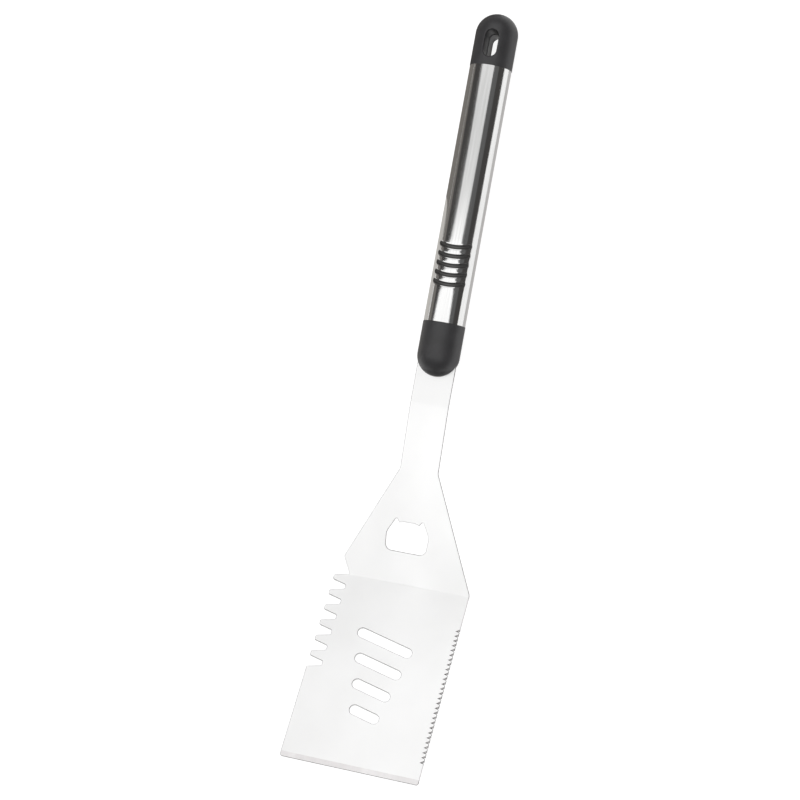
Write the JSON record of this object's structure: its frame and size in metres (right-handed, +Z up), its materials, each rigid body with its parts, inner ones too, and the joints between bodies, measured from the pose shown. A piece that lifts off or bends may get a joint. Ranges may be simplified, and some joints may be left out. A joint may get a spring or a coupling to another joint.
{
  "type": "grill spatula",
  "caption": "Long-handled steel grill turner with slotted head, toothed and serrated sides, cap lifter, round tube handle and moulded ends with a hanging slot.",
  "frame": {"origin": "middle of the bottom of the box, as the tool lies on a table with its top face up", "axes": "+Y from the head to the rear cap, +Z up out of the top face, +X to the right seen from above"},
  "size_m": [0.083, 0.4498, 0.048],
  "materials": {
    "blade_steel": "satin",
    "tube_steel": "polished with a fine brush",
    "end_plastic": "satin moulded",
    "core_plastic": "moulded",
    "rivet_steel": "plain"
  },
  "bodies": {
    "root": {"blade": "blade_steel", "front_ferrule": "end_plastic", "tang_core_top": "core_plastic", "tang_core_bottom": "core_plastic", "tang_rivet_front": "rivet_steel", "tang_rivet_rear": "rivet_steel", "handle_tube": "tube_steel", "rear_cap": "end_plastic"}
  },
  "joints": []
}
